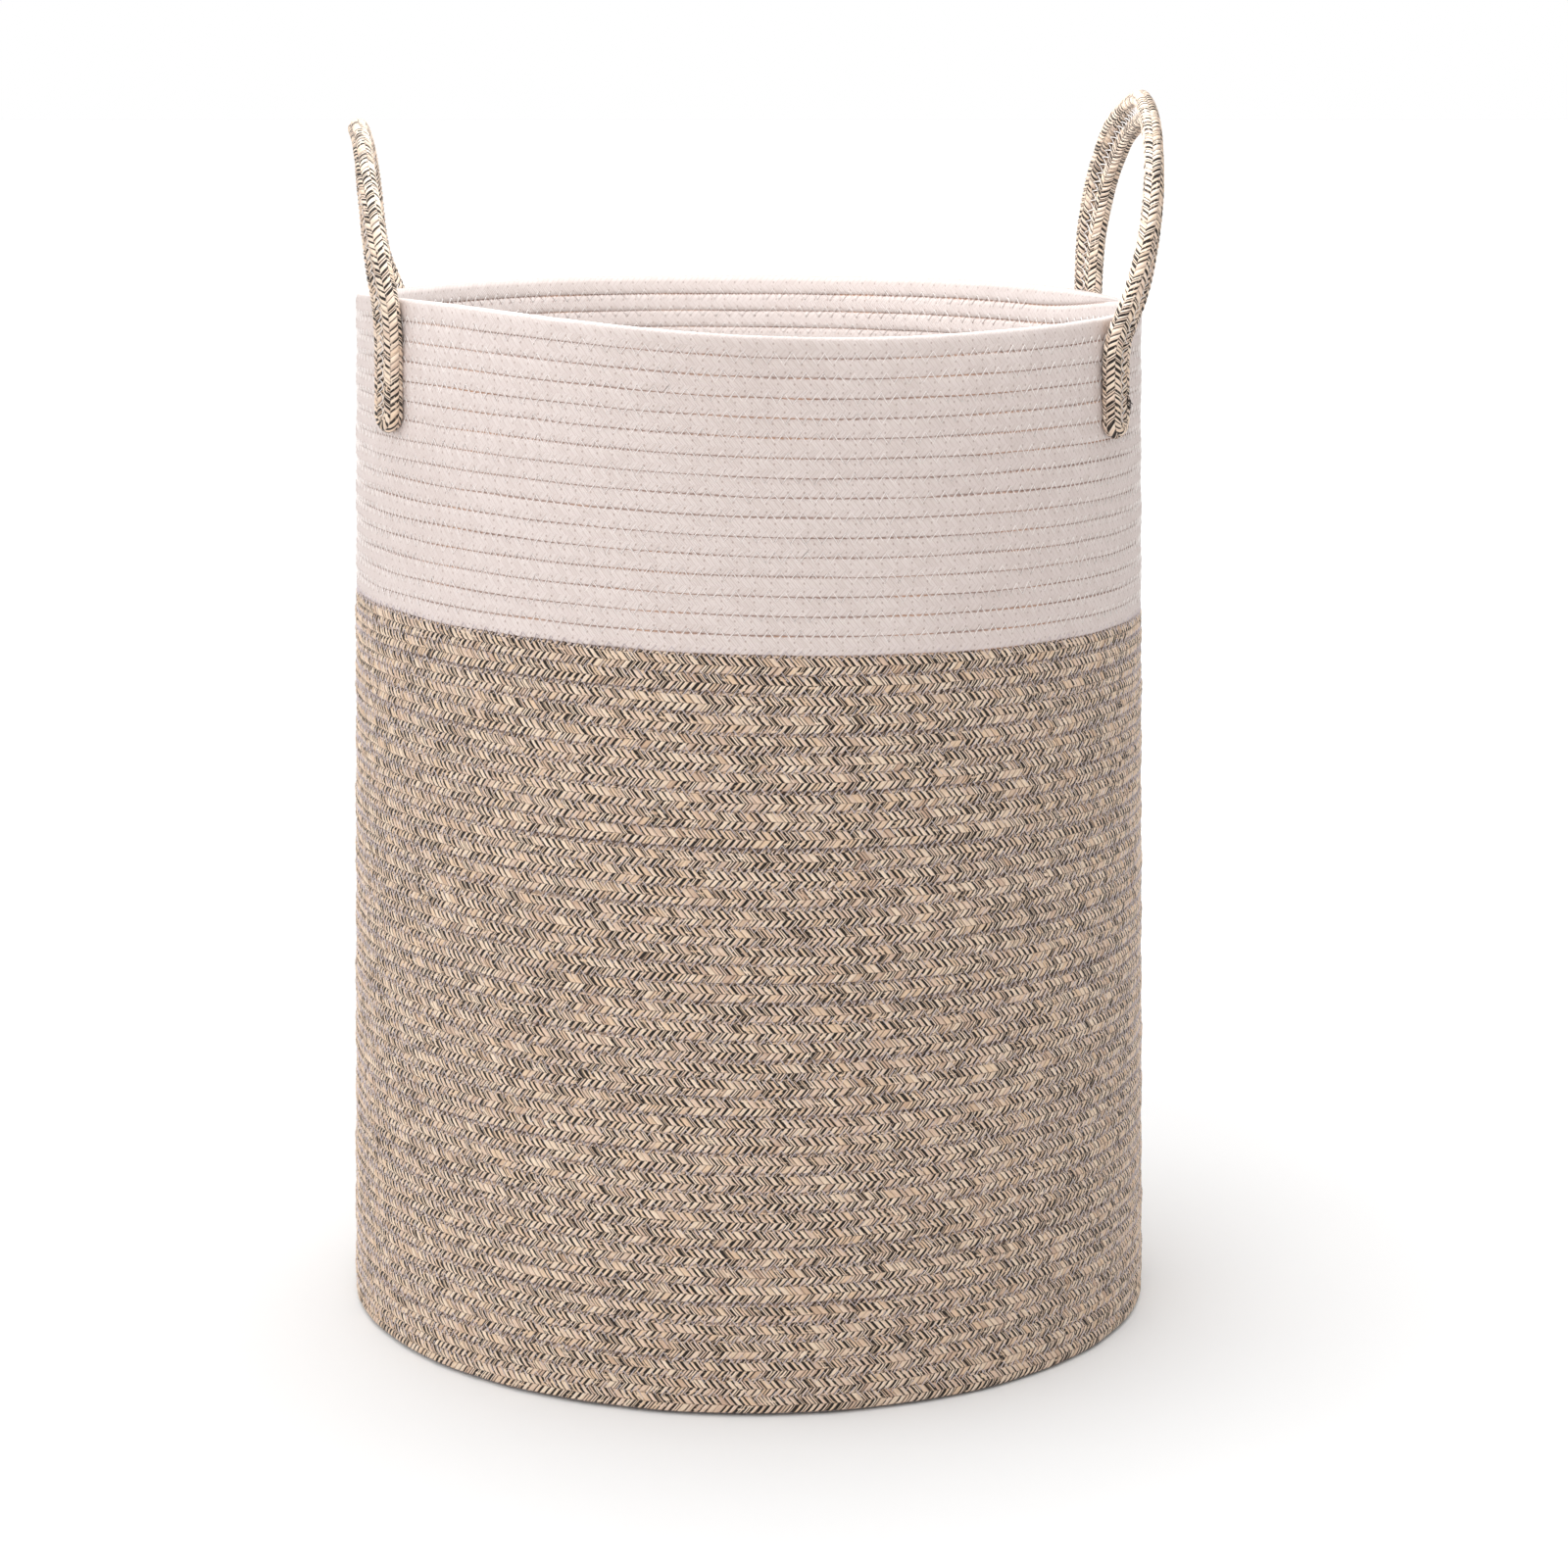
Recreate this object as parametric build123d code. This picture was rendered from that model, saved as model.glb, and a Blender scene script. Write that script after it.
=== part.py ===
from build123d import *
import os
from math import asin, atan, cos, degrees, radians, sin, tan

# A coiled rope laundry basket. Origin at the middle of the base, +Z up, front towards -Y,
# the two carrying handles at +X (right) and -X (left). All lengths are in millimetres.

# Driving dimensions of the basket
basket_height = 500.0
base_radius = 202.5  # outside of the wall at the floor
rim_radius = 193.0  # outside of the wall at the rim
wall_thickness = 8.0  # the wall rope is pressed a little flat by the sewing machine
row_count = 56  # turns of rope from the floor to the rim
mottled_rows = 40  # turns of mottled rope, the outermost turn of the base included
base_edge_round = 4.0
rim_edge_round = 3.5

# Driving dimensions of the handles
rope_radius = 4.2  # the round handle rope
rope_end_radius = 4.05  # of the ball that rounds off a grip rope at its hinge point
pair_offset = 4.4  # each of the doubled ropes lies this far from the middle of the pair
leg_azimuth = 28.0  # a handle's legs are sewn on this many degrees to each side of its heading
leg_top = 489.5  # height of a leg's last stitch; the rope is free from there up
leg_bottom = 447.0  # height of the lowest point of a leg's U-turn
leg_gap = 0.4  # between a sewn leg and the wall
hinge_height = 505.0  # where a handle rope flexes, just above the rim and clear of the leg's end
arch_top_offset = 6.4  # at the top of the arch the two ropes lie this far to each side
handle_heading = {"right": -1.2, "left": 183.5}  # degrees from +X, counter-clockwise from above
handle_rise = {"right": 98.0, "left": 85.0}  # of the arch above the hinge, along the leaning plane
handle_lean = {"right": 11.0, "left": 12.5}  # degrees outwards from upright

# Driving dimensions of the sewing thread
thread_size = 0.6
stitch_length = 6.0  # of a tacking stitch across the two ropes of a leg
stitch_size = 1.0
stitch_pitch = 6.0
stitch_count = 5
stitch_height = 3.0  # above the plane of the two ropes' centre lines

# Worked out from the driving dimensions
row_pitch = basket_height / row_count
colour_change = mottled_rows * row_pitch
base_thickness = row_pitch
wall_slope = atan((base_radius - rim_radius) / basket_height)
leg_radius_above_wall = rope_radius + leg_gap
exit_radius = rim_radius - (hinge_height - basket_height) * tan(wall_slope) + leg_radius_above_wall
exit_x = exit_radius * cos(radians(leg_azimuth))
exit_y = exit_radius * sin(radians(leg_azimuth))
pair_x = pair_offset * sin(radians(leg_azimuth))
pair_y = pair_offset * cos(radians(leg_azimuth))


def outer_radius(height):
    """Radius of the wall's outside at a height above the floor."""
    return base_radius - height * tan(wall_slope)


def inner_radius(height):
    """Radius of the wall's inside at a height above the floor."""
    return outer_radius(height) - wall_thickness


def ring_of(*corners):
    """A closed ring: a polygon of (radius, height) corners turned about the basket's axis."""
    return revolve(Plane.XZ * make_face(Polyline(*corners, close=True)), Axis.Z)


def edges_at(solid, height):
    """The circular edges of a solid that lie at one height."""
    return solid.edges().filter_by_position(Axis.Z, height - 0.01, height + 0.01)


def make_wall(low, high):
    """The sloping tube of coiled rope between two heights."""
    return ring_of(
        (inner_radius(low), low),
        (outer_radius(low), low),
        (outer_radius(high), high),
        (inner_radius(high), high),
    )


def make_base_coil():
    """The flat floor of the basket, one rope thick, with its lower edge rounded."""
    disc = ring_of(
        (0, 0),
        (outer_radius(0), 0),
        (outer_radius(base_thickness), base_thickness),
        (0, base_thickness),
    )
    return fillet(edges_at(disc, 0), base_edge_round)


def make_upper_wall():
    """The white band, with the rim's two edges rounded as the last turn of rope is."""
    wall = make_wall(colour_change, basket_height)
    return fillet(edges_at(wall, basket_height), rim_edge_round)


def thread_ring(radius, height):
    """A thin ring of sewing thread, half sunk in the face that it is sewn through."""
    section = Plane.XZ * Pos(radius, height) * Rectangle(thread_size, thread_size)
    return revolve(section, Axis.Z)


def make_wall_seams(first_row, last_row):
    """The thread between turns of the wall, outside and inside, one ring to each seam."""
    rings = []
    for row in range(first_row, last_row + 1):
        height = row * row_pitch
        rings.append(thread_ring(outer_radius(height), height))
        rings.append(thread_ring(inner_radius(height), height))
    return Compound(children=rings)


def make_base_seams():
    """The thread between turns of the base, on its upper face."""
    turns = int(inner_radius(base_thickness) // row_pitch)
    return Compound(children=[thread_ring(turn * row_pitch, base_thickness) for turn in range(1, turns)])


def rope_arc(radius, start_angle, end_angle):
    """A round rope bent to an arc about the origin, in the XY plane."""
    section = Plane.XZ * Pos(radius, 0) * Circle(rope_radius)
    return Rot(0, 0, start_angle) * revolve(section, Axis.Z, revolution_arc=end_angle - start_angle)


def rope_run(start, direction, length):
    """A straight run of round rope."""
    return extrude(Plane(origin=start, z_dir=direction) * Circle(rope_radius), amount=length)


def rope_end(centre, outwards):
    """Half a ball that rounds off a rope's end."""
    return Plane(origin=centre, z_dir=outwards) * Sphere(rope_end_radius, arc_size1=0, arc_size2=90)


def make_arch(half_span, rise):
    """A rope arch in the XY plane, from (half_span, 0) to (-half_span, 0), with rounded ends.

    A tall arch is a half circle on straight feet. A low one is a flatter arc without feet.
    """
    if rise > half_span:
        foot = rise - half_span
        arch = Pos(0, foot) * rope_arc(half_span, 0, 180)
        end_angle = 0
        for side in (-1, 1):
            arch += rope_run((side * half_span, 0, 0), (0, 1, 0), foot)
    else:
        arc_radius = (half_span**2 + rise**2) / (2 * rise)
        end_angle = asin((arc_radius - rise) / arc_radius)
        arch = Pos(0, rise - arc_radius) * rope_arc(arc_radius, degrees(end_angle), 180 - degrees(end_angle))
    for side in (-1, 1):
        arch += rope_end((side * half_span, 0, 0), (side * sin(end_angle), -cos(end_angle), 0))
    return arch


def make_grip_rope(side, which):
    """One of the two ropes of a handle's free arch, from the front hinge point to the back one."""
    sign = 1 if which == "inner" else -1
    rise = handle_rise[side]
    lean = handle_lean[side] + sign * degrees(asin((arch_top_offset - pair_x) / rise))
    foot_x = exit_x + sign * pair_x
    upwards = Vector(sin(radians(lean)), 0, cos(radians(lean)))
    along_hinge = Vector(0, 1, 0)
    plane = Plane(origin=(foot_x, 0, hinge_height), x_dir=along_hinge, z_dir=along_hinge.cross(upwards))
    arch = plane * make_arch(exit_y - sign * pair_y, rise)
    return Rot(0, 0, handle_heading[side]) * arch


def leg_plane(azimuth):
    """Plane of a leg's two centre lines: x along the wall, y up the wall, z outwards."""
    radius = outer_radius(leg_top) + leg_radius_above_wall
    upright = Plane(origin=(radius, 0, leg_top), x_dir=(0, 1, 0), z_dir=(cos(wall_slope), 0, sin(wall_slope)))
    return Plane(Rot(0, 0, azimuth) * upright.location)


def leg_azimuth_of(side, end):
    """Direction of a leg from +X, for the front or the back end of a handle."""
    front_sign = -1 if side == "right" else 1
    sign = front_sign if end == "front" else -front_sign
    return handle_heading[side] + sign * leg_azimuth


def make_leg(side, end):
    """A handle's end, sewn flat on the wall: rope down, a tight U-turn and rope up again."""
    straight = leg_top - leg_bottom - pair_offset - rope_radius
    leg = Pos(0, -straight) * rope_arc(pair_offset, 180, 360)
    for edge in (-1, 1):
        leg += rope_run((edge * pair_offset, 0, 0), (0, -1, 0), straight)
    return leg_plane(leg_azimuth_of(side, end)) * leg


def make_handle_stitches(side):
    """The tacking stitches across both legs of a handle."""
    stitches = []
    for end in ("front", "back"):
        plane = leg_plane(leg_azimuth_of(side, end))
        for number in range(stitch_count):
            place = Pos(0, -(number + 0.5) * stitch_pitch, stitch_height)
            stitches.append(plane * place * Box(stitch_length, stitch_size, stitch_size))
    return Compound(children=stitches)


parts = {
    "base_coil": make_base_coil(),
    "lower_wall": make_wall(base_thickness, colour_change),
    "upper_wall": make_upper_wall(),
    "base_seam_thread": make_base_seams(),
    "lower_seam_thread": make_wall_seams(1, mottled_rows - 1),
    "upper_seam_thread": make_wall_seams(mottled_rows, row_count - 1),
}
for side in ("left", "right"):
    parts[f"{side}_grip_inner_rope"] = make_grip_rope(side, "inner")
    parts[f"{side}_grip_outer_rope"] = make_grip_rope(side, "outer")
    parts[f"{side}_front_leg"] = make_leg(side, "front")
    parts[f"{side}_back_leg"] = make_leg(side, "back")
    parts[f"{side}_handle_stitches"] = make_handle_stitches(side)

os.makedirs("parts", exist_ok=True)
for node, shape in parts.items():
    export_step(shape, f"parts/{node}.step")
    print(node, round(shape.volume), "mm3")
print("hinge points at x", round(exit_x, 3), "y", round(exit_y, 3), "z", hinge_height)
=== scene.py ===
from math import radians
import bpy
import numpy as np
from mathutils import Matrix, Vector


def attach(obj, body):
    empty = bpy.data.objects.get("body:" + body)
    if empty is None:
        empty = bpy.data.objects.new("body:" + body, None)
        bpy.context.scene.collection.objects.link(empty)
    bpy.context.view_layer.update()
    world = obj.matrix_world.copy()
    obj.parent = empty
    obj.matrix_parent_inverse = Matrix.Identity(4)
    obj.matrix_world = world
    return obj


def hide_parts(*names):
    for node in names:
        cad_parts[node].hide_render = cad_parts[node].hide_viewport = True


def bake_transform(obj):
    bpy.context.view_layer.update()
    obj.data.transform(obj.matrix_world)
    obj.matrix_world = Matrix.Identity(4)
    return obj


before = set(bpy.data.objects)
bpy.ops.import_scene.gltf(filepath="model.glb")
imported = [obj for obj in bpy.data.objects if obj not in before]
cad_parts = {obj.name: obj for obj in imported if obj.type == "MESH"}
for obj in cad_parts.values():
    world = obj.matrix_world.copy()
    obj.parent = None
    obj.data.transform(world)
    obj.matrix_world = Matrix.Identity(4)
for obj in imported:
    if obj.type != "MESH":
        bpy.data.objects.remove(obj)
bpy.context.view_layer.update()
mm = 0.001
print("frame loaded with", len(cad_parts), "nodes")


# small helpers
def tone(red, green, blue):
    # screen colour 0..255 to the linear colour that a shader wants
    c = np.array([red, green, blue]) / 255
    lin = np.where(c <= 0.04045, c / 12.92, ((c + 0.055) / 1.055) ** 2.4)
    return (*lin.tolist(), 1.0)


def ease(x):
    # 3x^2 - 2x^3 between 0 and 1, flat outside
    x = np.clip(x, 0, 1)
    return x * x * (3 - 2 * x)


def unit(v):
    # each vector divided by its own length
    return v / np.linalg.norm(v, axis=-1, keepdims=True)


def along(azimuth):
    # outward and sideways directions on the ground plane for an azimuth in radians
    c, s, o = np.cos(azimuth), np.sin(azimuth), np.zeros_like(azimuth)
    return np.stack([c, s, o], -1), np.stack([-s, c, o], -1)


def makeWander(seed, rates, size):
    # a sum of sine waves at the given rates per turn, with seeded phases and sizes
    rng = np.random.default_rng(seed)
    phase = rng.uniform(0, 2 * np.pi, len(rates))
    weight = rng.uniform(0.6, 1.0, len(rates)) * size / len(rates) ** 0.5

    def wander(x):
        return sum(w * np.sin(2 * np.pi * r * x + p) for r, p, w in zip(rates, phase, weight))

    return wander


def walkedAlong(points):
    # distance from the first point to each point, along the line through them
    return np.concatenate([[0], np.cumsum(np.linalg.norm(np.diff(points, axis=0), axis=1))])


def readRows(where, places, values):
    # rows of three values, each column read at where by straight lines between the known places
    return np.stack([np.interp(where, places, values[:, i]) for i in range(3)], -1)


def makeMesh(name, points, quads, triangles, maps, flat):
    # one mesh from whole arrays: vertices, quads, end cap triangles, a UV pair for each corner,
    # and which quads are shaded flat
    mesh = bpy.data.meshes.new(name)
    corners = np.concatenate([quads.ravel(), triangles.ravel()]).astype(np.int32)
    starts = np.concatenate([np.arange(len(quads)) * 4, len(quads) * 4 + np.arange(len(triangles)) * 3])
    mesh.vertices.add(len(points))
    mesh.vertices.foreach_set("co", points.astype(np.float32).ravel())
    mesh.loops.add(len(corners))
    mesh.loops.foreach_set("vertex_index", corners)
    mesh.polygons.add(len(starts))
    mesh.polygons.foreach_set("loop_start", starts.astype(np.int32))
    for mapName, uv in maps.items():
        layer = mesh.uv_layers.new(name=mapName, do_init=False)
        layer.uv.foreach_set("vector", uv.astype(np.float32).ravel())
    mesh.update(calc_edges=True)
    sharp = np.concatenate([flat, np.ones(len(triangles), bool)])  # shaded flat: marked quads and end caps
    mesh.attributes.new("sharp_face", "BOOLEAN", "FACE").data.foreach_set("value", sharp)
    mesh.update()
    piece = bpy.data.objects.new(name, mesh)
    bpy.context.scene.collection.objects.link(piece)
    return piece


# the coil: one rope wound from the rim down to the floor and in to the middle
coil = dict(
    height=500.0, baseRadius=202.5, rimRadius=193.0, turns=56, whiteTurns=16,
    halfThick=3.95, halfTall=4.8, squareness=2.8, wallColumns=8,
    loose=6.8,          # half height of the section before it is pressed flat at halfTall
    columnStart=4.6,    # mm from the outermost point to the edge of column 0
    strandPitch=3.27,   # of the plait, along the rope
    startAzimuth=38.0,  # where the rope ends at the rim
    stepShare=0.1,      # of a turn, in which the rope steps down one row
    lean=0.85,          # how much of the step is spread round the whole turn, in mid wall
    frontShare=0.644,   # of a turn, from the start to the front
    middleRadius=0.6,   # where the coil begins; the rope is pinched narrower near the middle
    pinchFrom=4.9,      # radius at which the pinch begins
    pinchLeast=0.45,    # the rope's least width there, as a share of its full width
    baseHalfWide=4.6, baseHalfTall=4.2,
    baseLift=0.15,      # of the base's rope above the floor
    baseShift=0.45,     # of the base's turns outwards, so that they meet the wall's last turn
    footLift=0.6,       # of the wall's last turn
    endLeast=0.12,      # height of the tapered end at the rim, as a share of a row
    fade=10,            # turns over which one way of stepping down changes into another
)
rowPitch = coil["height"] / coil["turns"]
wallSlope = (coil["baseRadius"] - coil["rimRadius"]) / coil["height"]
outerRadius = lambda z: coil["baseRadius"] - z * wallSlope
floorRadius = outerRadius(rowPitch / 2) - coil["halfThick"]
baseMiddle = coil["baseHalfTall"] + coil["baseLift"]
lastWallRow = coil["turns"] - 1
turnEnd = lastWallRow + (floorRadius - coil["middleRadius"]) / rowPitch
sideWander = makeWander(11, [2.3, 5.1, 9.7, 17.3, 31.9], 0.30)
heightWander = makeWander(12, [3.7, 8.3, 15.1, 27.7], 0.14)
sizeWander = makeWander(13, [6.1, 13.3, 41.3, 77.9], 0.03)
phaseWander = makeWander(14, [0.37, 1.13, 2.71], 0.16)


def coilPlace(turns):
    # rows below the rim = whole turns, plus a short step at the back or an even slope, mixed by height
    whole = np.floor(turns)
    part = turns - whole
    step = ease((part - 1 + coil["stepShare"]) / coil["stepShare"])
    wallMix = coil["lean"] * ease((turns - 1) / coil["fade"]) * ease((lastWallRow - 1 - turns) / coil["fade"])
    baseMix = ease((turns - coil["turns"]) / coil["fade"])
    even = np.where(turns < coil["turns"], part - coil["frontShare"], part)
    mix = np.where(turns < coil["turns"], wallMix, baseMix)
    rows = np.where(turns < 0, 0, whole + (1 - mix) * step + mix * even)
    inwards = np.clip(rows - lastWallRow, 0, None)
    z = coil["height"] - rowPitch * (np.minimum(rows, lastWallRow) + 0.5)
    z = z + heightWander(turns) * ease(turns / 2) * (inwards <= 0)
    z = z + coil["footLift"] * np.clip(rows - lastWallRow + 1, 0, 1)
    onBase = np.minimum(inwards, 1)
    z = z * (1 - onBase) + onBase * baseMiddle
    radius = outerRadius(z) - coil["halfThick"] + sideWander(turns) * (1 - onBase)
    radius = radius * (1 - onBase) + onBase * (floorRadius - rowPitch * inwards + coil["baseShift"])
    ending = np.where(turns < 0, np.maximum(step, coil["endLeast"]), 1.0)
    z = np.where(turns < 0, coil["height"] - rowPitch / 2 * ending, z)
    thick = 1 + onBase * (coil["baseHalfWide"] / coil["halfThick"] - 1)
    thick = thick * np.clip(radius / coil["pinchFrom"], coil["pinchLeast"], 1)
    tall = 1 + onBase * (coil["baseHalfTall"] / coil["halfTall"] - 1)
    azimuth = radians(coil["startAzimuth"]) + 2 * np.pi * turns
    return azimuth, radius, z, thick * ending ** 0.5, tall * ending


# length of the coil in strand pitches, tabled against its turns; the end at the rim lies before turn 0
firstTurn = -0.085
turnTable = np.linspace(firstTurn, turnEnd, 60001)
radiusTable = coilPlace(turnTable)[1]
lengths = np.pi * (radiusTable[1:] + radiusTable[:-1]) * np.diff(turnTable)
pitchTable = np.concatenate([[0], np.cumsum(lengths)]) / coil["strandPitch"]
pitchAt = lambda turns: np.interp(turns, turnTable, pitchTable)
turnsAt = lambda pitches: np.interp(pitches, pitchTable, turnTable)

# the soft wall's sag, in mm
sag = dict(
    rimLift=[-0.5, -1.3, 0.0, 0.5, 2.0, 2.8, 2.6, 3.2, 3.5, 5.8, 9.6, 6.7],  # each 30 degrees from the front
    waves=4,   # how many waves of the lift are kept
    rimFade=6, # power of the height with which the rim's lift fades
    tilt=5.6,  # down at the right and up at the left, in mid wall
    tiltFade=1.2,
)
liftWaves = np.fft.rfft(sag["rimLift"]) / len(sag["rimLift"])


def settle(points):
    # added height = lift(azimuth) z^6 - tilt x z^1.2 (1 - z^6), with z and x as shares of height and radius
    x, y = points[..., 0] / coil["rimRadius"], points[..., 1] / coil["rimRadius"]
    z = np.clip(points[..., 2] / coil["height"], 0, 1)
    azimuth = np.arctan2(x, -y)
    lift = liftWaves[0].real
    for k in range(1, sag["waves"] + 1):
        lift = lift + 2 * (liftWaves[k].real * np.cos(k * azimuth) - liftWaves[k].imag * np.sin(k * azimuth))
    atRim = z ** sag["rimFade"]
    out = points.copy()
    out[..., 2] += lift * atRim - sag["tilt"] * x * z ** sag["tiltFade"] * (1 - atRim)
    return out


def coilPath(pitches):
    # centre line and directions of the coil at a distance counted in strand pitches
    turns = turnsAt(pitches)
    azimuth, radius, z, thick, tall = coilPlace(turns)
    outward, sideways = along(azimuth)
    centre = outward * radius[..., None]
    centre[..., 2] = z
    up = np.zeros_like(outward)
    up[..., 2] = 1
    swell = 1 + sizeWander(turns)
    phase = phaseWander(turns) * ease(turns - coil["whiteTurns"])
    return centre, outward, up, thick * swell, tall * (1 + 0.4 * sizeWander(turns + 5)), phase


# plaited rope as a tube
def makeSection(halfThick, loose, halfTall, power, startAt, columnCount):
    # a superellipse pressed flat above and below at halfTall, walked at even speed;
    # column 0 starts at startAt mm below the outermost point
    angle = np.linspace(-np.pi, np.pi, 2881)
    c, s = np.cos(angle), np.sin(angle)
    n = halfThick * np.sign(c) * np.abs(c) ** (2 / power)
    b = np.clip(loose * np.sign(s) * np.abs(s) ** (2 / power), -halfTall, halfTall)
    walked = np.concatenate([[0], np.cumsum(np.hypot(np.diff(n), np.diff(b)))])
    girth = walked[-1]
    even = np.linspace(0, girth, 361)
    n, b = np.interp(even, walked, n), np.interp(even, walked, b)
    dn, db = np.gradient(n), np.gradient(b)
    size = np.hypot(dn, db)

    def section(columns):
        place = (columns / columnCount * girth - startAt + girth / 2) % girth
        pick = lambda values: np.interp(place, even, values)
        return pick(n), pick(b), pick(db / size), pick(-dn / size)

    return section, girth, float(columnCount)


def makeRope(path, shape, first, last, columns, perPitch, relief, closed=False):
    # a tube whose rings are bent to zigzags: place along = line + zigzag(column); the surface rises by
    # strand * (2 |sin(pi line)|^0.8 - 1) |sin(pi column)|^0.7 + column * (|sin(pi column)|^0.7 - 0.6);
    # first..last are strand numbers along the rope; columns are the ring's places, counted round the rope
    section, girth, columnCount = shape
    steps = int(round((last - first) * perPitch))
    line = first + np.arange(steps + 1) / perPitch
    zigzag = np.abs((columns + 1) % 2 - 1)
    if closed:
        line = line[:-1]
    pitches = line[:, None] + zigzag[None, :]
    if closed:
        pitches = first + (pitches - first) % (last - first)
    centre, outward, up, thick, tall, phase = path(pitches)
    n, b, nn, nb = section(columns[None, :] + phase)
    middle = np.abs(np.sin(np.pi * columns))[None, :] ** 0.7
    across = np.sin(np.pi * ((line[:, None] + np.floor(columns) % 2 / 2) % 1)) ** 0.8 * 2 - 1
    bump = relief["strand"] * across * middle + relief["column"] * (middle - 0.6)
    n = n * thick + bump * nn
    b = b * tall + bump * nb
    points = centre + outward * n[..., None] + up * b[..., None]
    rings, around = points.shape[:2]
    k = np.arange(steps)[:, None]
    j = np.arange(around)[None, :]
    wrap = lambda a, c: (a % rings if closed else a) * around + c % around
    quads = np.stack([wrap(k, j), wrap(k + 1, j), wrap(k + 1, j + 1), wrap(k, j + 1)], -1).reshape(-1, 4)
    columnsNext = np.append(columns[1:], columnCount)
    lineNow, lineNext = first + k / perPitch, first + (k + 1) / perPitch
    zigNow, zigNext = zigzag[None, :], np.append(zigzag[1:], 0.0)[None, :]
    o = np.zeros((steps, around))
    u = np.stack([lineNow + zigNow, lineNext + zigNow, lineNext + zigNext, lineNow + zigNext], -1)
    v = np.stack([o + columns, o + columns, o + columnsNext, o + columnsNext], -1)
    braid = np.stack([u, v], -1).reshape(-1, 2)
    # the bake's map: the rope laid out as strips of equal length, one above the other, with a narrow border
    length = (last - first) * coil["strandPitch"]
    strips = max(1, int(np.ceil((length / girth / 1.06) ** 0.5)))
    perStrip = int(np.ceil(steps / strips))
    strips = int(np.ceil(steps / perStrip))
    strip, place = k // perStrip, k % perStrip
    left, right = place / perStrip + o, (place + 1) / perStrip + o
    low, high = o + columns / columnCount, o + columnsNext / columnCount
    bu = np.stack([left, right, right, left], -1) * 0.994 + 0.003
    bv = (np.stack([low, low, high, high], -1) * 0.94 + 0.03 + strip[..., None]) / strips
    bake = np.stack([bu, bv], -1).reshape(-1, 2)
    flatPoints = points.reshape(-1, 3)
    triangles = np.zeros((0, 3), int)
    if not closed:  # a fan closes each end
        ends = np.stack([points[0].mean(0), points[-1].mean(0)])
        a = np.arange(around)
        b1 = (a + 1) % around
        head = np.stack([a, b1, np.full(around, rings * around)], -1)
        tail = np.stack([b1, a, np.full(around, rings * around + 1)], -1)
        tail[:, :2] += (rings - 1) * around
        triangles = np.concatenate([head[:, [1, 0, 2]], tail[:, [1, 0, 2]]])
        flatPoints = np.concatenate([flatPoints, ends])
        spot = np.tile([0.5, 0.5], (len(triangles) * 3, 1))
        braid = np.concatenate([braid, spot + [first, 0]])
        bake = np.concatenate([bake, spot * [1, 0.002]])
    return flatPoints, quads, triangles, dict(braid=braid, OFBake=bake)


def finish(piece, material, body, nodes):
    # colour, body, slot and the CAD nodes that the piece stands for
    piece.data.materials.append(material)
    if body:
        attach(piece, body)
    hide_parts(*nodes)
    return piece


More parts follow.
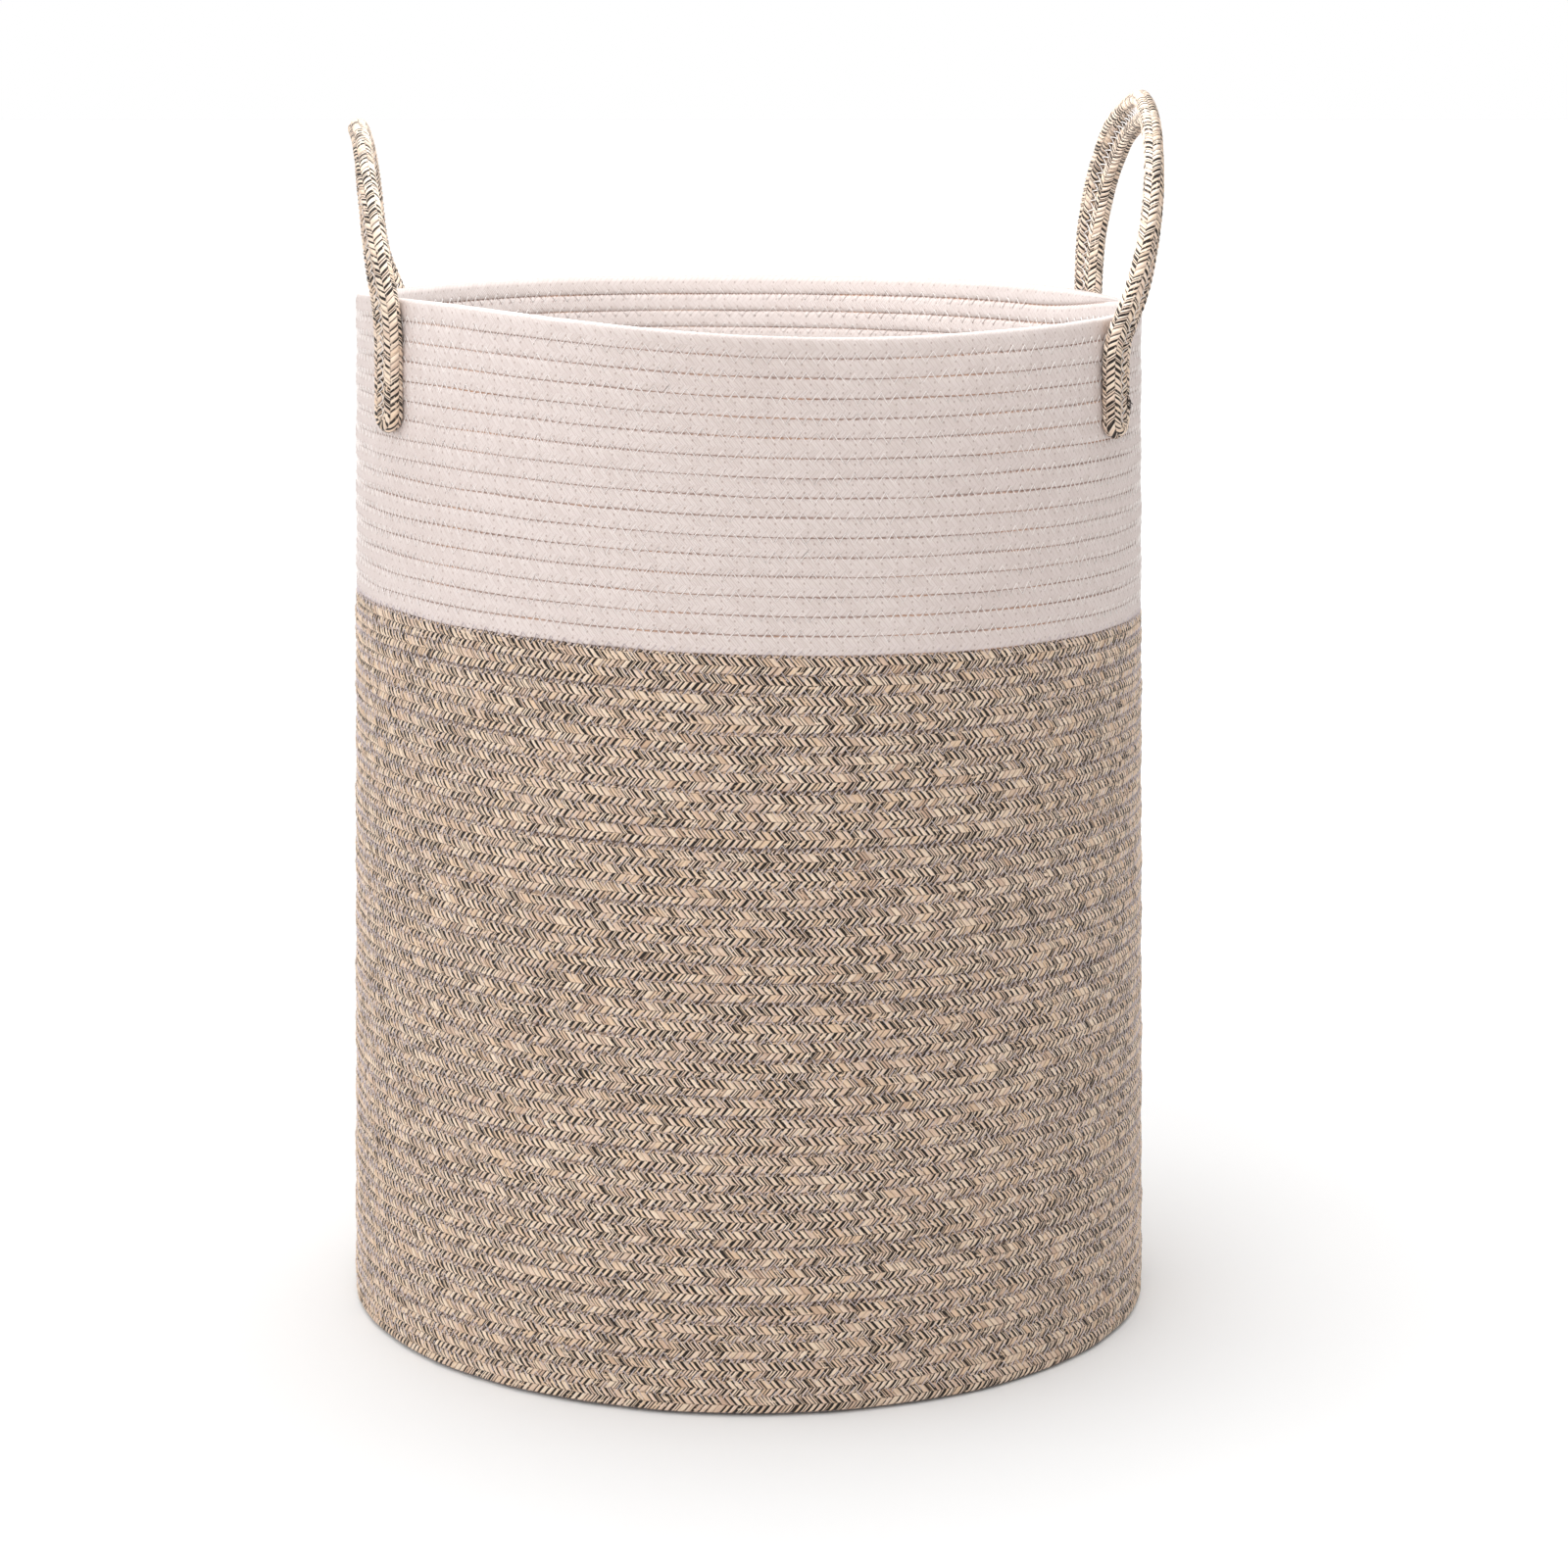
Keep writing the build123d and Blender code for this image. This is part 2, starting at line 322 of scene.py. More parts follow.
# materials
class Nodes:
    # shorthand for a material's node tree: each call adds one node and gives its output
    def __init__(self, name):
        self.material = bpy.data.materials.new(name)
        self.material.use_nodes = True
        self.tree = self.material.node_tree
        self.shader = self.tree.nodes["Principled BSDF"]

    def put(self, node, index, value):
        if isinstance(value, bpy.types.NodeSocket):
            self.tree.links.new(value, node.inputs[index])
        else:
            node.inputs[index].default_value = value

    def math(self, operation, *values):
        node = self.tree.nodes.new("ShaderNodeMath")
        node.operation = operation
        for i, value in enumerate(values):
            self.put(node, i, value)
        return node.outputs[0]

    def combine(self, x, y, z):
        node = self.tree.nodes.new("ShaderNodeCombineXYZ")
        for i, value in enumerate((x, y, z)):
            self.put(node, i, value)
        return node.outputs[0]

    def split(self, vector):
        node = self.tree.nodes.new("ShaderNodeSeparateXYZ")
        self.put(node, 0, vector)
        return node.outputs

    def uv(self, name):
        node = self.tree.nodes.new("ShaderNodeUVMap")
        node.uv_map = name
        return node.outputs[0]

    def place(self):
        return self.tree.nodes.new("ShaderNodeTexCoord").outputs["Object"]

    def chance(self, vector):
        node = self.tree.nodes.new("ShaderNodeTexWhiteNoise")
        node.noise_dimensions = "3D"
        self.put(node, 0, vector)
        return node.outputs["Value"]

    def noise(self, vector, scale, detail=2.0, rough=0.5):
        node = self.tree.nodes.new("ShaderNodeTexNoise")
        self.put(node, "Vector", vector)
        node.inputs["Scale"].default_value = scale
        node.inputs["Detail"].default_value = detail
        node.inputs["Roughness"].default_value = rough
        return node.outputs["Fac"]

    def ramp(self, value, low, high, first=0.0, last=1.0):
        node = self.tree.nodes.new("ShaderNodeMapRange")
        node.interpolation_type = "SMOOTHSTEP"
        for i, v in enumerate((value, low, high, first, last)):
            self.put(node, i, v)
        return node.outputs[0]

    def blend(self, share, a, b):
        node = self.tree.nodes.new("ShaderNodeMix")
        node.data_type = "RGBA"
        self.put(node, 0, share)
        self.put(node, 6, a)
        self.put(node, 7, b)
        return node.outputs[2]

    def plait(self, u, v):
        # strand place = along - zigzag of column, half a strand further in every second column
        zig = self.math("PINGPONG", v, 1.0)
        column = self.math("FLOOR", v)
        half = self.math("MULTIPLY", self.math("MODULO", self.math("ADD", column, 8.0), 2.0), 0.5)
        return zig, column, self.math("ADD", self.math("SUBTRACT", u, zig), half)

    def streaks(self, strandLine, zig, column, acrossRate, alongRate):
        # noise drawn out along the yarns of a strand
        acrossYarns = self.math("MULTIPLY", strandLine, acrossRate)
        alongYarns = self.math("MULTIPLY", zig, alongRate)
        return self.noise(self.combine(acrossYarns, alongYarns, column), 1.0, 3.0, 0.6)

    def bump(self, height, strength, distance):
        node = self.tree.nodes.new("ShaderNodeBump")
        node.inputs["Strength"].default_value = strength
        node.inputs["Distance"].default_value = distance
        self.put(node, "Height", height)
        return node.outputs[0]

    def surface(self, **values):
        for key, value in values.items():
            self.put(self.shader, key.replace("_", " "), value)
        return self.material


# faceMiddle is the outer face's place round the rope in columns, and a face reaches faceHalf to each side
mottled = dict(
    cream=tone(235, 212, 187), pink=tone(223, 195, 172), straw=tone(226, 195, 163), brown=tone(176, 141, 118),
    # groove is painted shade in the gaps between strands, and seam painted shade in the groove between rows;
    # light is a pale tone, also used as painted light
    light=tone(242, 226, 212), dark=tone(22, 11, 6), grooveShade=tone(104, 74, 60),
    seam=tone(84, 60, 52), seamThread=tone(206, 192, 196),
    darkChance=0.78, secondChance=0.38, faceMiddle=1.12, faceHalf=1.0,
)


def makeMottledRope(name, paintedLightShare, paintSeamShade):
    # strand number = whole part of the strand place; place across the strand = its fraction;
    # a dark yarn runs along most strand edges, and a second one inside some strands
    m = Nodes(name)
    u, v, _ = m.split(m.uv("braid"))
    zig, column, strandLine = m.plait(u, v)
    strand = m.math("FLOOR", strandLine)
    across = m.math("FRACT", strandLine)
    paleChance = m.chance(m.combine(strand, column, 2.0))
    strawChance = m.chance(m.combine(strand, column, 3.0))
    brownChance = m.chance(m.combine(strand, column, 5.0))
    streak = m.streaks(strandLine, zig, column, 7.0, 1.1)
    blotch = m.noise(m.combine(m.math("MULTIPLY", u, 0.3), v, 0.0), 1.0, 2.0)
    base = m.blend(m.ramp(paleChance, 0.25, 0.75), mottled["cream"], mottled["pink"])
    base = m.blend(m.ramp(strawChance, 0.45, 0.9, 0.0, 0.8), base, mottled["straw"])
    base = m.blend(m.ramp(brownChance, 0.75, 1.0, 0.0, 0.5), base, mottled["brown"])
    base = m.blend(m.ramp(streak, 0.45, 0.7, 0.0, 0.55), base, mottled["brown"])
    base = m.blend(m.ramp(blotch, 0.5, 0.75, 0.0, 0.25), base, mottled["light"])
    # the edge line is shifted and widened by chance, and broken along its length
    shift = m.math("MULTIPLY_ADD", m.chance(m.combine(strand, column, 6.0)), 0.16, -0.08)
    lineAt = m.math("ADD", strandLine, shift)
    toEdge = m.math("PINGPONG", lineAt, 0.5)
    # painted shade: darker in the gaps between strands, and at the column edges where the strands dive under
    base = m.blend(m.ramp(toEdge, 0.02, 0.16, 0.75, 0.0), base, mottled["grooveShade"])
    base = m.blend(m.ramp(m.math("PINGPONG", v, 0.5), 0.0, 0.10, 0.5, 0.0), base, mottled["grooveShade"])
    breaks = m.noise(m.combine(m.math("MULTIPLY", strand, 3.7), m.math("MULTIPLY", v, 2.4), 7.0), 1.0, 2.0)
    unbroken = m.ramp(breaks, 0.33, 0.43)
    width = m.math("MULTIPLY_ADD", strawChance, 0.14, 0.13)
    darkOn = m.math("LESS_THAN", m.chance(m.combine(strand, column, 4.0)), mottled["darkChance"])
    line = m.ramp(toEdge, width, m.math("ADD", width, 0.05), 1.0, 0.0)
    line = m.math("MULTIPLY", m.math("MULTIPLY", line, unbroken), darkOn)
    second = m.ramp(m.math("ABSOLUTE", m.math("SUBTRACT", across, 0.48)), 0.06, 0.12, 1.0, 0.0)
    secondOn = m.math("LESS_THAN", m.chance(m.combine(strand, column, 9.0)), mottled["secondChance"])
    second = m.math("MULTIPLY", m.math("MULTIPLY", second, secondOn), unbroken)
    # a pale stripe beside each dark yarn: a cream yarn, painted brighter as a highlight
    light = m.ramp(m.math("ABSOLUTE", m.math("SUBTRACT", across, 0.27)), 0.04, 0.12, 1.0, 0.0)
    base = m.blend(m.math("MULTIPLY", m.math("MULTIPLY", light, darkOn), 0.5), base, mottled["light"])
    # painted light: the handles' copy of the rope is made lighter all over, for the stronger light on the
    # handles
    base = m.blend(paintedLightShare, base, mottled["light"])
    base = m.blend(m.math("MULTIPLY", line, 0.97), base, mottled["dark"])
    base = m.blend(m.math("MULTIPLY", second, 0.9), base, mottled["dark"])
    if paintSeamShade:
        # along a seam: painted shade of the groove between rows, a broken brown line with grey flecks of
        # thread
        fromFace = m.math("PINGPONG", m.math("SUBTRACT", v, mottled["faceMiddle"]), 2.0)
        seamShadeMask = m.ramp(fromFace, mottled["faceHalf"], mottled["faceHalf"] + 0.08)
        seamSide = m.math("FLOOR", m.math("MULTIPLY", v, 0.25))
        fleck = m.noise(m.combine(m.math("MULTIPLY", u, 1.7), seamSide, 3.0), 1.0, 2.0)
        seam = m.blend(m.ramp(fleck, 0.52, 0.6), mottled["seam"], mottled["seamThread"])
        base = m.blend(m.math("MULTIPLY", seamShadeMask, m.ramp(fleck, 0.38, 0.48, 0.1, 0.6)), base, seam)
    rounded = m.math("POWER", m.math("SINE", m.math("MULTIPLY", across, np.pi)), 0.5)
    height = m.math("ADD", rounded, m.math("MULTIPLY", streak, 0.8))
    return m.surface(
        Base_Color=base, Roughness=m.ramp(streak, 0.3, 0.7, 0.82, 0.94), Normal=m.bump(height, 0.9, 0.0006),
        Sheen_Weight=0.1, Sheen_Roughness=0.5,
    )


plain = dict(
    # groove and hole are painted shade in the gaps and ribs between strands and in the needle holes; seam and
    # warmSeamShade are painted shade in the groove between rows
    white=tone(219, 206, 201), shade=tone(206, 191, 185), grooveShade=tone(188, 168, 160),
    holeShade=tone(150, 124, 114), seam=tone(160, 132, 120), warmSeamShade=tone(186, 144, 118),
    faceMiddle=1.12, faceHalf=1.0,
    rimStrands=370.0,                    # strands in the first turn, whose top is open, has no seam and gets no painted seam shade
    holeFromMiddle=0.45, holePitch=2.2,  # needle holes, painted as small spots of shade, in columns round and strands along the rope
    dashRate=0.908,                      # dashes of the seam's painted shade for each strand: one to a crossing of the thread
)


def makeWhiteRope():
    # the same plait tone on tone, with fine ribs; painted shade between strands and ribs, in two lines of
    # needle holes, and as a brown dashed line in the groove between rows
    m = Nodes("whiteCottonRope")
    u, v, _ = m.split(m.uv("braid"))
    zig, column, strandLine = m.plait(u, v)
    strand = m.math("FLOOR", strandLine)
    across = m.math("FRACT", strandLine)
    shadeChance = m.chance(m.combine(strand, column, 2.0))
    rib = m.math("PINGPONG", m.math("MULTIPLY", strandLine, 2.5), 0.5)
    streak = m.streaks(strandLine, zig, column, 6.0, 1.2)
    cloud = m.noise(m.place(), 9.0, 3.0)
    base = m.blend(m.ramp(shadeChance, 0.3, 1.0, 0.0, 0.5), plain["white"], plain["shade"])
    base = m.blend(m.ramp(cloud, 0.4, 0.7, 0.0, 0.35), base, plain["shade"])
    base = m.blend(m.ramp(streak, 0.45, 0.75, 0.0, 0.5), base, plain["shade"])
    # painted shade in the gaps between strands and between the fine ribs
    base = m.blend(m.ramp(m.math("PINGPONG", across, 0.5), 0.02, 0.14, 0.45, 0.0), base, plain["grooveShade"])
    base = m.blend(m.ramp(rib, 0.0, 0.16, 0.25, 0.0), base, plain["grooveShade"])
    # 0 in the middle of a face, 2 in the middle of a seam
    fromFace = m.math("PINGPONG", m.math("SUBTRACT", v, plain["faceMiddle"]), 2.0)
    # painted shade: small dark spots for the needle holes
    holeAlong = m.math("PINGPONG", u, plain["holePitch"] / 2)
    holeAside = m.math("SUBTRACT", fromFace, plain["holeFromMiddle"])
    holeShade = m.math("ADD", m.math("POWER", holeAlong, 2.0), m.math("POWER", holeAside, 2.0))
    base = m.blend(m.ramp(holeShade, 0.006, 0.03, 0.55, 0.0), base, plain["holeShade"])
    # painted shade in the groove between rows, warmer in places and broken into dashes where the thread
    # crosses; none on the open top of the first turn
    seamShadeMask = m.ramp(fromFace, plain["faceHalf"], plain["faceHalf"] + 0.06)
    onTop = m.math("MULTIPLY", m.math("GREATER_THAN", v, 2.0), m.math("LESS_THAN", v, 4.2))
    rimTop = m.math("MULTIPLY", onTop, m.math("LESS_THAN", u, plain["rimStrands"]))
    seamShadeMask = m.math("MULTIPLY", seamShadeMask, m.math("SUBTRACT", 1.0, rimTop))
    warmth = m.ramp(m.noise(m.place(), 24.0, 2.0), 0.5, 0.7)
    seam = m.blend(warmth, plain["seam"], plain["warmSeamShade"])
    dash = m.ramp(m.math("PINGPONG", m.math("MULTIPLY", u, plain["dashRate"]), 0.5), 0.1, 0.24, 0.12, 0.9)
    base = m.blend(m.math("MULTIPLY", seamShadeMask, dash), base, seam)
    height = m.math("ADD", m.math("MULTIPLY", rib, 0.8), m.math("MULTIPLY", streak, 0.8))
    return m.surface(
        Base_Color=base, Roughness=m.ramp(streak, 0.3, 0.7, 0.84, 0.94), Normal=m.bump(height, 0.7, 0.0005),
        Sheen_Weight=0.1, Sheen_Roughness=0.5,
    )


def makeThread(name, colour):
    # a matt sewing thread, one even colour
    return Nodes(name).surface(Base_Color=colour, Roughness=0.75)


mottledRope = makeMottledRope("mottledCottonRope", 0.0, True)
# the same rope with painted light, a fifth lighter all over
handleRope = makeMottledRope("mottledHandleRope", 0.2, False)
whiteRope = makeWhiteRope()
whiteThread = makeThread("whiteSewingThread", tone(244, 236, 232))
tanThread = makeThread("tanSewingThread", tone(214, 202, 204))
darkFibre = makeThread("darkCottonFibre", tone(44, 34, 30))
print("materials ready")


# wall and base ropes: the places of a ring's points round the rope, closer together where it is seen
thirds = np.arange(9) / 3
whiteColumns = np.concatenate([thirds, [3.4, 4, 4.5, 5, 5.5, 6, 6.6, 7.6]])
mottledColumns = np.concatenate([thirds, [3.4, 4, 5, 6, 7.2]])
baseColumns = np.array([0, 1, 2, 7 / 3, 8 / 3, 3, 10 / 3, 11 / 3, 4, 13 / 3, 5, 6, 7])
wallShape = makeSection(coil["halfThick"], coil["loose"], coil["halfTall"], coil["squareness"],
                        coil["columnStart"], coil["wallColumns"])
whiteRelief = dict(strand=0.13, column=0.12)
mottledRelief = dict(strand=0.34, column=0.34)


def windCoil(name, fromTurn, toTurn, pieces, material, node, columns, relief):
    # one stretch of the coil, cut into pieces of equal length at whole strands, with two rings to a strand
    cuts = np.round(np.linspace(pitchAt(fromTurn), pitchAt(toTurn), pieces + 1))
    for i in range(pieces):
        first, last = cuts[i:i + 2]
        points, quads, triangles, maps = makeRope(coilPath, wallShape, first, last, columns, 2, relief)
        smooth = np.zeros(len(quads), bool)
        piece = makeMesh(f"{name}{i + 1:02d}", settle(points) * mm, quads, triangles, maps, smooth)
        finish(piece, material, "basket", [node])
    print(name, pieces, "pieces of", len(quads) * 2, "triangles")


windCoil("whiteWallRope", firstTurn, coil["whiteTurns"], 6,
         whiteRope, "upper_wall", whiteColumns, whiteRelief)
windCoil("mottledWallRope", coil["whiteTurns"], lastWallRow + 1, 14,
         mottledRope, "lower_wall", mottledColumns, mottledRelief)
windCoil("mottledBaseRope", lastWallRow + 1, turnEnd, 3,
         mottledRope, "base_coil", baseColumns, mottledRelief)


# seam threads
stitching = dict(
    crossing=3.6,     # mm along the seam for each pass of the needle
    whiteReach=2.7,   # mm to each side of the seam
    mottledReach=2.6,
    thickness=0.25,
    proud=0.07,       # of the rope's outermost point
    sunk=0.02,        # below the top of the base's rope
    dip=0.35,         # mm that the thread sinks at the groove
    dipReach=4,       # to each side of the groove, in which it rises again
)


def zigzagOf(count, parts, reach, seed):
    # a triangle wave: +reach to -reach in each crossing, with each turn a little uneven
    rng = np.random.default_rng(seed)
    ends = reach * (1 - 2 * (np.arange(count + 1) % 2)) * rng.uniform(0.88, 1.06, count + 1)
    shift = rng.uniform(-0.09, 0.09, count + 1)
    place = np.arange(count * parts + 1) / parts
    knots = np.arange(count + 1)
    return np.interp(place, knots, knots + shift), np.interp(place, knots, ends)


def makeThreadTube(points, outward, thickness):
    # a three sided tube: each ring is a triangle across the direction of travel, its third side below
    angle = np.array([0, 1.9, -1.9])  # radians from outwards
    travel = unit(np.gradient(points, axis=0))
    beside = unit(np.cross(travel, outward))
    ring = outward[:, None] * np.cos(angle)[:, None] + beside[:, None] * np.sin(angle)[:, None]
    mesh = (points[:, None] + thickness * ring).reshape(-1, 3)
    k = np.arange(len(points) - 1)[:, None] * 3
    j = np.arange(3)[None, :]
    quads = np.stack([k + j, k + (j + 1) % 3, k + 3 + (j + 1) % 3, k + 3 + j], -1).reshape(-1, 4)
    last = len(mesh) - 3
    triangles = np.array([[0, 2, 1], [last, last + 1, last + 2]])
    under = np.tile([False, True, False], len(points) - 1)
    return mesh, quads, triangles, under


def sewSeam(name, fromTurn, toTurn, face, parts, reach, material, node, seed):
    # follows the groove between one turn and the next, on the outside, the inside, or the base's two faces;
    # its depth in the groove = dip (1 - |swing| / 4)^2
    lengthAt = lambda t: pitchAt(t) * coil["strandPitch"]
    count = int((lengthAt(toTurn) - lengthAt(fromTurn)) / stitching["crossing"])
    place, swing = zigzagOf(count, parts, reach, seed)
    turns = turnsAt((lengthAt(fromTurn) + place * stitching["crossing"]) / coil["strandPitch"])
    azimuth, radiusA, zA, _, _ = coilPlace(turns)
    _, radiusB, zB, _, _ = coilPlace(turns + 1)
    outward, _ = along(azimuth)
    up = np.zeros_like(outward)
    up[:, 2] = 1
    deep = stitching["dip"] * np.clip(1 - np.abs(swing) / stitching["dipReach"], 0, 1) ** 2
    if face in ("outside", "inside"):
        sign = 1 if face == "outside" else -1
        z = (zA + zB) / 2 + swing
        radius = (radiusA + radiusB) / 2 + sign * (coil["halfThick"] + stitching["proud"] - deep)
        facing = outward * sign
    else:
        sign = 1 if face == "top" else -1
        z = baseMiddle + sign * (coil["baseHalfTall"] - stitching["sunk"] - deep)
        radius = (radiusA + radiusB) / 2 + swing
        facing = up * sign
    points = outward * radius[:, None] + up * z[:, None]
    mesh, quads, triangles, under = makeThreadTube(settle(points), facing, stitching["thickness"])
    piece = makeMesh(name, mesh * mm, quads, triangles, {}, under)
    finish(piece, material, "basket", [node])
    print(name, len(quads) * 2, "triangles")


whiteEnd, wallEnd = coil["whiteTurns"] - 1, lastWallRow - 0.15
baseStart, baseEnd = lastWallRow + 1, turnEnd - 1.3
upperSeam = (stitching["whiteReach"], whiteThread, "upper_seam_thread")
lowerSeam = (stitching["mottledReach"], tanThread, "lower_seam_thread")
baseSeam = (stitching["mottledReach"], tanThread, "base_seam_thread")
sewSeam("whiteSeamThreadOutside", 0.0, whiteEnd, "outside", 3, *upperSeam, 21)
sewSeam("whiteSeamThreadInside", 0.0, whiteEnd, "inside", 1, *upperSeam, 22)
sewSeam("mottledSeamThreadOutside", whiteEnd, wallEnd, "outside", 2, *lowerSeam, 23)
sewSeam("mottledSeamThreadInside", whiteEnd, wallEnd, "inside", 1, *lowerSeam, 24)
sewSeam("baseSeamThreadTop", baseStart, baseEnd, "top", 1, *baseSeam, 25)
sewSeam("baseSeamThreadUnder", baseStart, baseEnd, "under", 1, *baseSeam, 26)


# handles: a closed loop of rope laid double
handle = dict(
    legAzimuth=28.0, hingeHeight=505.0, sewnTop=490.0, ropeRadius=4.3, pairOffset=4.45,
    hingeGap=0.4,                  # between the rope and the wall's slope carried on upwards
    archPower=0.92,                # 1 is an ellipse, less is squarer
    bendFrom=0.496, bendTo=0.522,  # heights in metres
    skinRadius=4.35, columns=6, columnStart=5.95,
    perPitch=4, columnSteps=4, strandPitch=3.2, relief=dict(strand=0.34, column=0.3),
    stitchLength=3.0, stitchReach=1.9, stitchHeight=3.75, stitchDip=0.6, stitchThickness=0.32,
)
# firstLean and lastLean: mm outwards at mm above the hinge, for the arch's first and last half;
# twist: degrees by which the pair is turned, at degrees along the arch; turned: columns, see loopPath
handleOf = dict(
    left=dict(heading=183.5, bottom=447.0, rise=78.0, turned=(0, 0),
              firstLean=([0, 5, 16, 30, 45, 65, 78], [3.0, 8.0, 12.0, 13.4, 13.8, 14.6, 15.4]),
              lastLean=([0, 9, 27, 51, 73, 78], [-0.5, 2.2, 5.2, 8.8, 12.8, 15.4]),
              twist=([0, 40, 90, 140, 180], [28, 14, -16, 6, 30])),
    right=dict(heading=-1.2, bottom=444.5, rise=92.0, turned=(0, 1),
               firstLean=([0, 16, 35, 55, 75, 92], [6.8, 11.2, 15.2, 17.8, 19.0, 18.8]),
               lastLean=([0, 28, 57, 80, 92], [-0.4, 0.7, 4.9, 11.0, 18.8]),
               twist=([0, 20, 60, 90, 120, 150, 180], [28, 8, 6, 24, 50, 46, 32])),
)
exitRadius = outerRadius(handle["hingeHeight"]) + handle["ropeRadius"] + handle["hingeGap"]
skin = handle["skinRadius"]
handleShape = makeSection(skin, skin, skin, 2.0, handle["columnStart"], handle["columns"])


def smoothRun(values, spread):
    # a running mean with the weight exp(-(i / spread)^2 / 2), the ends carried on by mirroring
    reach = int(spread * 3)
    weight = np.exp(-0.5 * (np.arange(-reach, reach + 1) / spread) ** 2)
    weight /= weight.sum()
    before = 2 * values[:1] - values[reach:0:-1]
    after = 2 * values[-1:] - values[-2:-reach - 2:-1]
    padded = np.concatenate([before, values, after])
    return np.stack([np.convolve(padded[:, i], weight, "valid") for i in range(values.shape[1])], -1)


def handleLoop(side):
    # middle line: up one leg, a leaning arch, down the other leg; the two ropes lie at plus and minus
    # the pair's offset, which turns from sideways on the wall to in and out at the arch's top
    own = handleOf[side]
    heading = radians(own["heading"])
    spread = radians(handle["legAzimuth"])
    bottom = own["bottom"] + handle["ropeRadius"] + handle["pairOffset"]
    legZ = np.arange(bottom, handle["sewnTop"], 1.0)
    legs, legOffsets = [], []
    for sign in (-1, 1):
        outward, sideways = along(np.full(len(legZ), heading + sign * spread))
        radius = outerRadius(legZ) + handle["ropeRadius"]
        line = outward * radius[:, None]
        line[:, 2] = legZ
        legs.append(line)
        legOffsets.append(-sign * sideways)
    angle = np.linspace(0, np.pi, 300)
    outward, sideways = along(np.array(heading))
    reach = own["rise"] * np.sin(angle) ** handle["archPower"]
    lean = np.where(angle < np.pi / 2, *[np.interp(reach, *own[half]) for half in ("firstLean", "lastLean")])
    x = exitRadius * np.cos(spread) + lean
    y = -exitRadius * np.sin(spread) * np.cos(angle)
    arch = outward * x[:, None] + sideways * y[:, None]
    arch[:, 2] = handle["hingeHeight"] + reach
    twist = np.radians(np.interp(np.degrees(angle), *own["twist"]))[:, None]
    inward = sideways * np.cos(angle)[:, None] + np.array([0, 0, -1.0]) * np.sin(angle)[:, None]
    archOffsets = np.cos(twist) * inward + np.sin(twist) * outward
    middle = np.concatenate([legs[0], arch[4:-4], legs[1][::-1]])
    offset = np.concatenate([legOffsets[0], archOffsets[4:-4], legOffsets[1][::-1]])
    # even spacing of 1 mm, then smoothed
    walked = walkedAlong(middle)
    even = np.arange(0, walked[-1], 1.0)
    middle = smoothRun(readRows(even, walked, middle), 6)
    offset = unit(smoothRun(readRows(even, walked, offset), 9))
    tangent = unit(np.gradient(middle, axis=0))
    offset = unit(offset - tangent * (offset * tangent).sum(1, keepdims=True))
    # a half turn from one rope to the other at each end
    bend = np.linspace(0, np.pi, 15)[1:-1, None]
    turnB = np.cos(bend) * offset[-1] + np.sin(bend) * tangent[-1]
    turnA = -np.cos(bend) * offset[0] - np.sin(bend) * tangent[0]
    around = np.concatenate([offset, turnB, -offset[::-1], turnA])
    lastMiddle, firstMiddle = np.tile(middle[-1], (len(bend), 1)), np.tile(middle[0], (len(bend), 1))
    core = np.concatenate([middle, lastMiddle, middle[::-1], firstMiddle])
    return core + around * handle["pairOffset"], around, middle, offset, tangent


def loopPath(places, around, turned):
    # looks up the closed loop's centre line and directions at a distance in strand pitches; the rope is
    # turned by columns a + (b - a) (1 - cos(2 pi share)) / 2, with a and b at the first leg and at the last
    closedPlaces = np.concatenate([places, places[:1]])
    walked = walkedAlong(closedPlaces)
    closedAround = np.concatenate([around, around[:1]])
    tangents = unit(np.roll(places, -1, 0) - np.roll(places, 1, 0))
    closedTangents = np.concatenate([tangents, tangents[:1]])
    strandCount = int(round(walked[-1] / handle["strandPitch"]))

    def path(pitches):
        where = pitches % strandCount / strandCount * walked[-1]
        tangent = unit(readRows(where, walked, closedTangents))
        outward = readRows(where, walked, closedAround)
        outward = unit(outward - tangent * (outward * tangent).sum(-1, keepdims=True))
        up = np.cross(outward, tangent)
        one = np.ones_like(pitches)
        shift = turned[0] + (turned[1] - turned[0]) * (0.5 - 0.5 * np.cos(2 * np.pi * where / walked[-1]))
        return readRows(where, walked, closedPlaces), outward, up, one, one, shift

    return path, strandCount


def sewGroove(middle, offset, tangent, first, last, face, seed):
    # a zigzag from rope to rope, at height - dip (1 - |swing| / reach) over the middle line; it may start
    # before the middle line's first mm and go on past its last
    length = handle["stitchLength"]
    place, swing = zigzagOf(int((last - first) / length), 3, handle["stitchReach"], seed)
    where = first + place * length
    pick = lambda values: readRows(where, np.arange(len(values)), values)
    across, forward = unit(pick(offset)), unit(pick(tangent))
    facing = unit(np.cross(across, forward)) * face
    beyond = where - np.clip(where, 0, len(middle) - 1)
    height = handle["stitchHeight"] - handle["stitchDip"] * (1 - np.abs(swing) / handle["stitchReach"])
    line = pick(middle) + forward * beyond[:, None] + across * swing[:, None] + facing * height[:, None]
    return makeThreadTube(line, facing, handle["stitchThickness"])


def joinTubes(name, tubes):
    # several thread tubes as one mesh
    bases = np.cumsum([0] + [len(tube[0]) for tube in tubes])
    points = np.concatenate([tube[0] for tube in tubes])
    quads = np.concatenate([tube[1] + base for tube, base in zip(tubes, bases)])
    triangles = np.concatenate([tube[2] + base for tube, base in zip(tubes, bases)])
    return makeMesh(name, points * mm, quads, triangles, {}, np.concatenate([tube[3] for tube in tubes]))


tuft = dict(
    fibres=26, points=5, length=2.6, curl=1.6, thickness=0.24, seed=41,
    # where a fibre starts, in mm from the spot
    outFrom=3.9, outTo=4.5, downTo=-3.5, upTo=4.5, leftTo=-2.2, rightTo=2.4,
)


